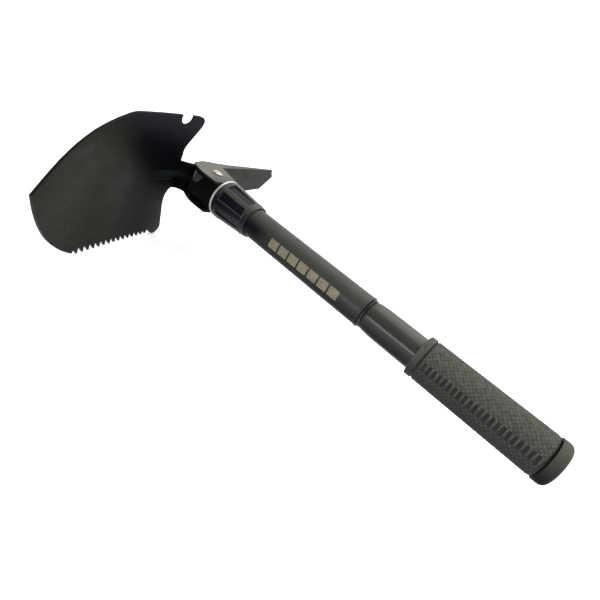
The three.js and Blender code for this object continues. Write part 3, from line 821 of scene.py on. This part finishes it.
def inside_distance(point, outline):
    """Distance from a point to an outline's edge, positive inside it."""
    x, y = point
    nearest, inside = 1e9, False
    for (x0, y0), (x1, y1) in zip(outline, outline[1:] + outline[:1]):
        dx, dy = x1 - x0, y1 - y0
        t = min(1.0, max(0.0, ((x - x0) * dx + (y - y0) * dy) / (dx * dx + dy * dy)))
        nearest = min(nearest, math.hypot(x - x0 - t * dx, y - y0 - t * dy))
        if (y0 > y) != (y1 > y) and x < x0 + (y - y0) * dx / dy:
            inside = not inside
    return nearest if inside else -nearest


def relief_patch(name, s_range, z_range, step, lift, shader):
    """A raised patch of the block's skin, closed behind: lift(s, z) is its height in mm."""
    columns, rows = span(*s_range, step), span(*z_range, step)
    mesh = bpy.data.meshes.new(name)
    points, faces = [], []
    for back in (False, True):
        for s in columns:
            for z in rows:
                x, y, height = block_skin(s, z, -BURIED if back else lift(s, z))
                points.append((x * MM, y * MM, height * MM))
    wide, high = len(columns), len(rows)
    rear = wide * high
    for i in range(wide - 1):
        for j in range(high - 1):
            a = i * high + j
            quad = (a, a + 1, a + high + 1, a + high)
            faces.append(quad)
            faces.append(tuple(rear + k for k in reversed(quad)))
    border = [i * high for i in range(wide)] + [(wide - 1) * high + j for j in range(1, high)]
    border += [i * high + high - 1 for i in range(wide - 2, -1, -1)] + list(range(high - 2, 0, -1))
    for a, b in zip(border, border[1:] + border[:1]):
        faces.append((a, b, rear + b, rear + a))
    mesh.from_pydata(points, [], faces)
    shade_smooth(mesh)
    piece = new_piece(name, mesh, shader)
    sharpen(piece, 50)
    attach(piece, "head_frame")


def tab_lift(s, z):
    height = TAB_ON_FLAT if s < FLAT_END else TAB_ON_NOSE
    inside = inside_distance((s, z), TAB_OUTLINE)
    return -TAB_ROOT + (height + TAB_ROOT) * smooth((inside + 0.5) / TAB_FLANK)


def pad_lift(s, z):
    return PAD_LIFT


relief_patch("stop_tab", (-1.0, 14.6), (0.2, 8.05), TAB_STEP, tab_lift, MAT_TAB)
relief_patch("nose_pad", (6.0, 26.0), (-7.9, 2.6), PAD_STEP, pad_lift, MAT_BLOCK)


# ---- floor and light ----

FLOOR_HALF = 30.0
FLOOR_DROP = 0.0005  # how far the floor lies under the part


def make_floor():
    low, high = CAD_BOX
    centre = (low + high) / 2
    z = low.z - FLOOR_DROP
    mesh = bpy.data.meshes.new("floor")
    corners = []
    for side_x, side_y in ((-1, -1), (1, -1), (1, 1), (-1, 1)):
        corners.append((centre.x + side_x * FLOOR_HALF, centre.y + side_y * FLOOR_HALF, z))
    mesh.from_pydata(corners, [], [(0, 1, 2, 3)])
    white = Shader("floor_white", rough=0.9, color=(0.98, 0.98, 0.98), Specular_IOR_Level=0.1,
                   Emission_Strength=0.18)
    new_piece("floor", mesh, white)


def make_sky():
    """A white studio that is dimmer on the camera's side, so that the faces towards it stay dark."""
    world = bpy.data.worlds.new("studio")
    world.use_nodes = True
    nodes, links = world.node_tree.nodes, world.node_tree.links
    background = nodes["Background"]
    direction = nodes.new("ShaderNodeTexCoord").outputs["Generated"]
    split = nodes.new("ShaderNodeSeparateXYZ")
    links.new(direction, split.inputs[0])
    sky = nodes.new("ShaderNodeMapRange")
    sky.interpolation_type = "SMOOTHSTEP"
    sky.inputs["From Min"].default_value = -0.1
    sky.inputs["From Max"].default_value = 0.8
    sky.inputs["To Min"].default_value = 1.15
    sky.inputs["To Max"].default_value = 0.4
    links.new(split.outputs["Y"], sky.inputs["Value"])
    background.inputs["Color"].default_value = (1, 1, 1, 1)
    links.new(sky.outputs["Result"], background.inputs["Strength"])
    SCENE.world = world


def hang_lamp(data, towards, up, place=(0, 0, 0)):
    """Puts a lamp in the scene, shining one way."""
    lamp = bpy.data.objects.new(data.name, data)
    lamp.location = place
    lamp.rotation_euler = Vector(towards).to_track_quat("-Z", up).to_euler()
    SCENE.collection.objects.link(lamp)


def overhead_sun(power, spread):
    data = bpy.data.lights.new("overhead", "SUN")
    data.energy = power
    data.angle = math.radians(spread)
    hang_lamp(data, (0.15, 0.35, -1), "Y")


def strip_light(place, length, height, power):
    """A long low strip in front that draws a streak along the tubes."""
    data = bpy.data.lights.new("strip", "AREA")
    data.shape = "RECTANGLE"
    data.size, data.size_y = length, height
    data.energy = power
    data.color = (0.82, 0.92, 1.0)
    hang_lamp(data, (0, -1, 0), "Z", place)


make_floor()
make_sky()
overhead_sun(2.2, 70)
strip_light((0.2, 0.79, 0.075), 0.8, 0.07, 3.0)
